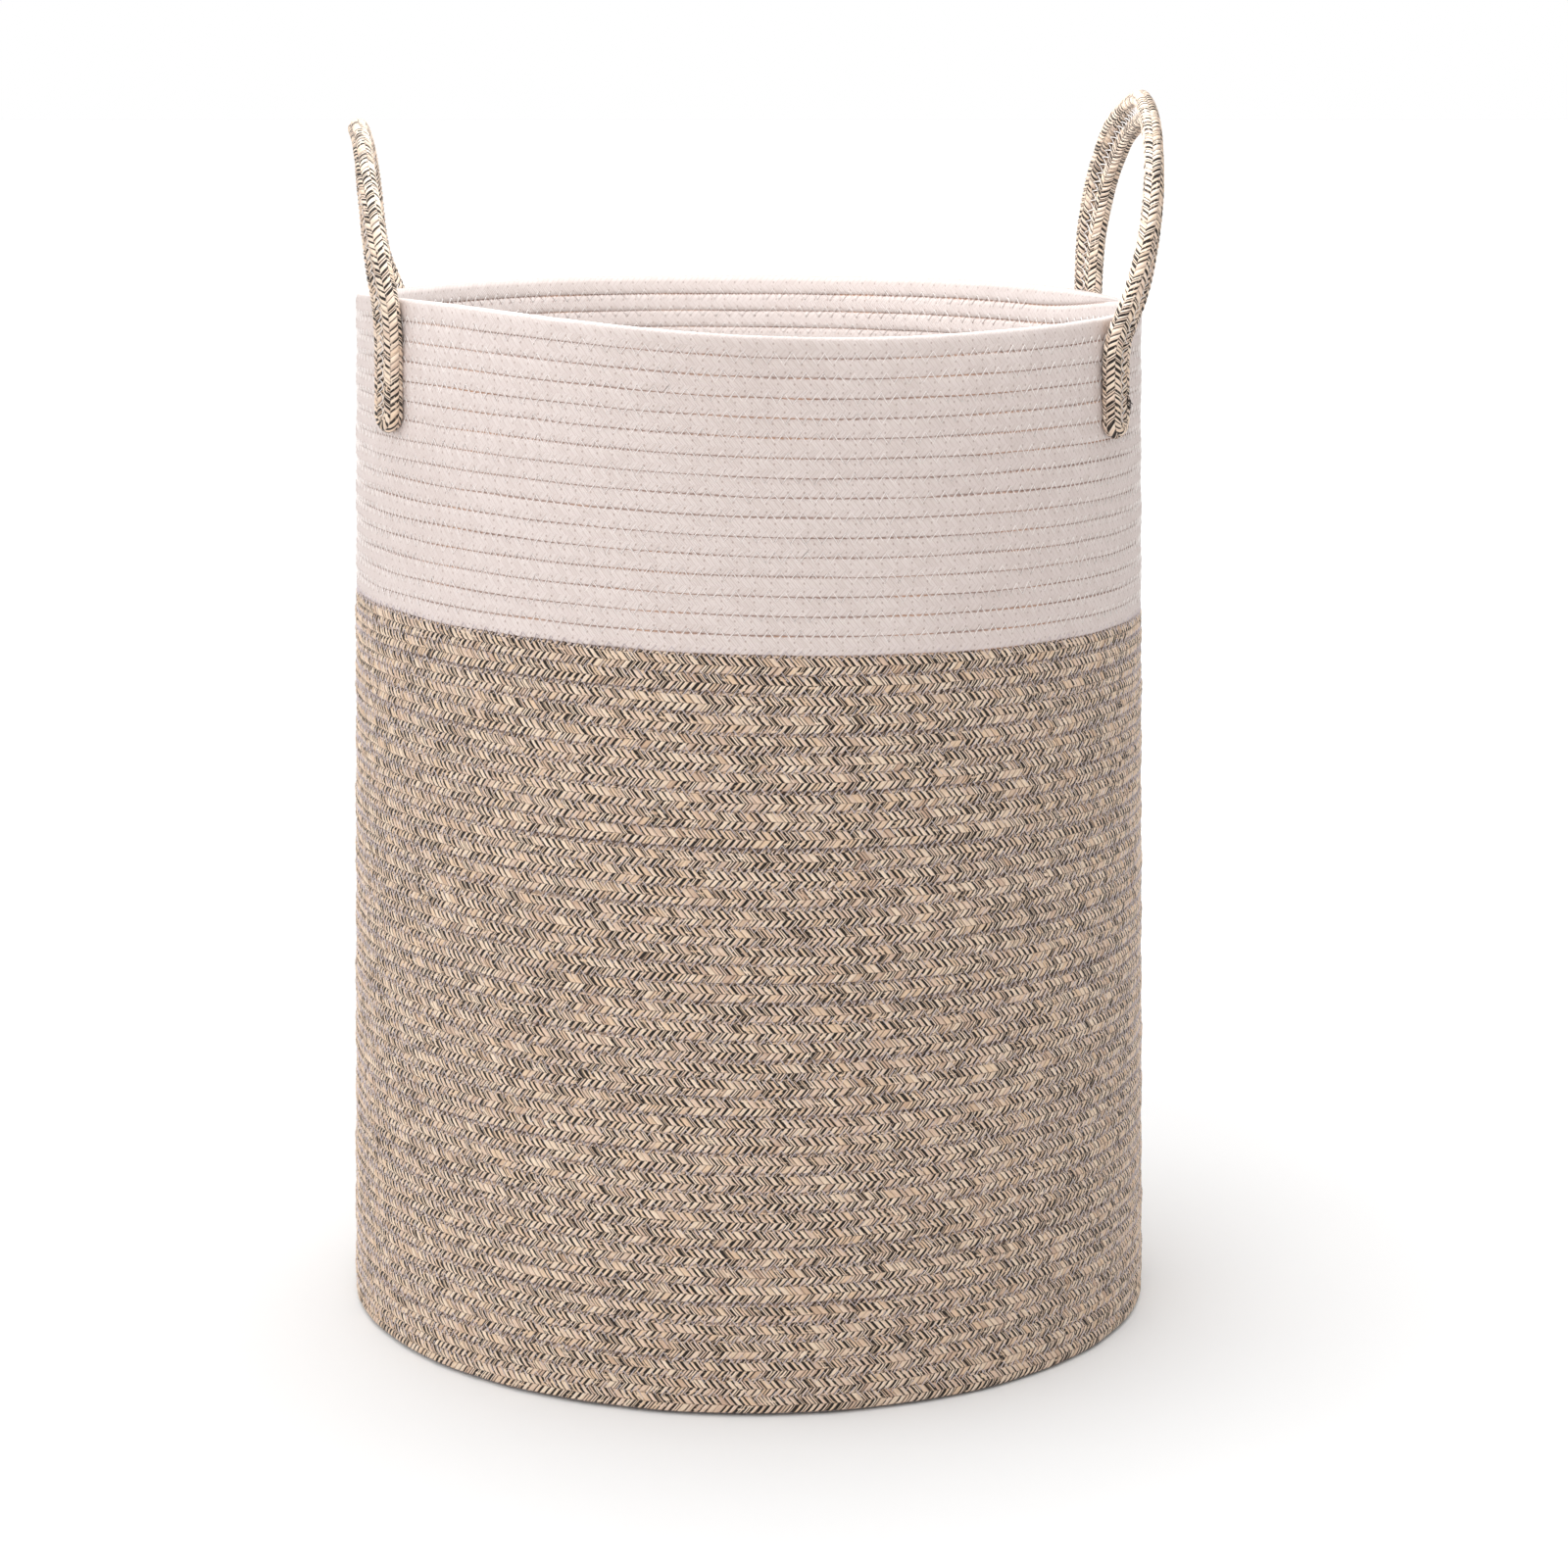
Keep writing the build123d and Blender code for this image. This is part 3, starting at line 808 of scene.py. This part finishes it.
def fray(spot, outward, upward):
    # a tuft of loose dark fibres where the rope's end shows: each is start + heading * step + curl * step^2
    rng = np.random.default_rng(tuft["seed"])
    sideways = np.cross(upward, outward)
    step = np.linspace(0, 1, tuft["points"])[:, None]
    tubes = []
    for _ in range(tuft["fibres"]):
        start = spot + outward * rng.uniform(tuft["outFrom"], tuft["outTo"])
        start = start + upward * rng.uniform(tuft["downTo"], tuft["upTo"])
        start = start + sideways * rng.uniform(tuft["leftTo"], tuft["rightTo"])
        heading = upward * rng.uniform(-1, 1) + sideways * rng.uniform(-1, 1) + outward * 0.35
        curl = upward * rng.uniform(-1, 1) + sideways * rng.uniform(-1, 1) - outward * 0.5
        line = start + heading * step * tuft["length"] + curl * step ** 2 * tuft["curl"]
        tubes.append(makeThreadTube(line, np.tile(outward, (tuft["points"], 1)), tuft["thickness"]))
    finish(joinTubes("rightFrayedFibres", tubes), darkFibre, "basket", ["right_front_leg"])


def blendHandle(piece):
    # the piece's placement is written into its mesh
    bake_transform(piece)


handleColumns = np.arange(0, handle["columns"], 1 / handle["columnSteps"])
for side in ("left", "right"):
    places, around, middle, offset, tangent = handleLoop(side)
    path, strandCount = loopPath(places, around, handleOf[side]["turned"])
    points, quads, triangles, maps = makeRope(
        path, handleShape, 0, strandCount, handleColumns, handle["perPitch"], handle["relief"], closed=True)
    piece = makeMesh(f"{side}HandleRope", points * mm, quads, triangles, maps, np.zeros(len(quads), bool))
    finish(piece, handleRope, None, [
        f"{side}_grip_inner_rope", f"{side}_grip_outer_rope", f"{side}_front_leg", f"{side}_back_leg"])
    blendHandle(piece)
    # tacking thread along the groove between the two ropes: on the face of both legs, and all round the arch
    end = handle["sewnTop"] - middle[0, 2]
    last = len(middle) - 1
    outer = sewGroove(middle, offset, tangent, end, last - end, 1, 31)
    inner = sewGroove(middle, offset, tangent, end, last - end, -1, 32)
    front = sewGroove(middle, offset, tangent, -2, end, 1, 33)
    back = sewGroove(middle, offset, tangent, last - end, last + 2, 1, 34)
    piece = joinTubes(f"{side}ArchThread", [outer, inner])
    finish(piece, whiteThread, None, [f"{side}_handle_stitches"])
    blendHandle(piece)
    piece = joinTubes(f"{side}LegThread", [front, back])
    finish(piece, whiteThread, "basket", [f"{side}_handle_stitches"])
    if side == "right":
        spot = middle[5] + offset[5] * handle["pairOffset"]
        fray(spot, unit(spot * [1, 1, 0]), unit(tangent[5]))
    print(side, "handle, loop of", strandCount, "strands")


# floor, light, camera
stage = dict(
    floorSize=30.0, floorDrop=-0.0006, floorTone=tone(243, 243, 243), skyLight=0.6, skySeen=1.0,
    topSun=1.45, frontSun=0.82, sideSun=1.5, coolTone=(0.93, 0.97, 1.0),
    lampPower=1.4, lampSize=0.3, lampTone=(0.9, 0.97, 1.0),
    lampPlace=(0.0, -0.1, 0.7), lampFrom=(0.0, -0.29, 0.25),
)
edge, drop = stage["floorSize"], stage["floorDrop"]
floorMesh = bpy.data.meshes.new("paleFloor")
floorMesh.from_pydata([(-edge, -edge, drop), (edge, -edge, drop), (edge, edge, drop), (-edge, edge, drop)],
                      [], [(0, 1, 2, 3)])
floor = bpy.data.objects.new("paleFloor", floorMesh)
bpy.context.scene.collection.objects.link(floor)
floor.data.materials.append(Nodes("paleFloorPaint").surface(Base_Color=stage["floorTone"], Roughness=0.9))

# an even sky: white where the camera sees it, softer as a light
world = bpy.data.worlds.new("softSky")
bpy.context.scene.world = world
world.use_nodes = True
skyNodes, skyLinks = world.node_tree.nodes, world.node_tree.links
rays = skyNodes.new("ShaderNodeLightPath")
strength = skyNodes.new("ShaderNodeMapRange")
skyLinks.new(rays.outputs["Is Camera Ray"], strength.inputs["Value"])
strength.inputs["To Min"].default_value = stage["skyLight"]
strength.inputs["To Max"].default_value = stage["skySeen"]
skyNodes["Background"].inputs["Color"].default_value = (1.0, 1.0, 1.0, 1.0)
skyLinks.new(strength.outputs[0], skyNodes["Background"].inputs["Strength"])


def softSun(name, fromPlace, power, spread):
    # a very soft distant light that shines from fromPlace towards the origin
    light = bpy.data.lights.new(name, "SUN")
    light.energy = power
    light.angle = radians(spread)
    lamp = bpy.data.objects.new(name, light)
    bpy.context.scene.collection.objects.link(lamp)
    lamp.rotation_euler = Vector(fromPlace).to_track_quat("Z", "Y").to_euler()
    return lamp


softSun("topLight", (-0.05, 0.33, 1.0), stage["topSun"], 60)
softSun("frontLight", (-0.2, -1.0, 0.6), stage["frontSun"], 60)
softSun("sideLight", (-1.0, -0.3, 0.12), stage["sideSun"], 80).data.color = stage["coolTone"]

# a small soft lamp over the opening, for the inside of the back wall and the rim
panel = bpy.data.lights.new("openingLight", "AREA")
panel.size = stage["lampSize"]
panel.energy = stage["lampPower"]
panel.color = stage["lampTone"]
panelLamp = bpy.data.objects.new("openingLight", panel)
bpy.context.scene.collection.objects.link(panelLamp)
panelLamp.location = stage["lampPlace"]
panelLamp.rotation_euler = Vector(stage["lampFrom"]).to_track_quat("Z", "Y").to_euler()
panelLamp.visible_camera = False

# down is the camera's tilt in degrees
view = dict(lens=83.61, shiftX=0.0225, shiftY=-0.05, place=(0.0, -1.809, 0.626), down=10.25)
lens = bpy.data.cameras.new("studioCamera")
lens.sensor_width = 36.0
lens.lens = view["lens"]
lens.shift_x = view["shiftX"]
lens.shift_y = view["shiftY"]
camera = bpy.data.objects.new("studioCamera", lens)
bpy.context.scene.collection.objects.link(camera)
camera.location = view["place"]
camera.rotation_euler = (radians(90 - view["down"]), 0, 0)
bpy.context.scene.camera = camera
bpy.context.scene.view_settings.view_transform = "Standard"
print("stage ready")
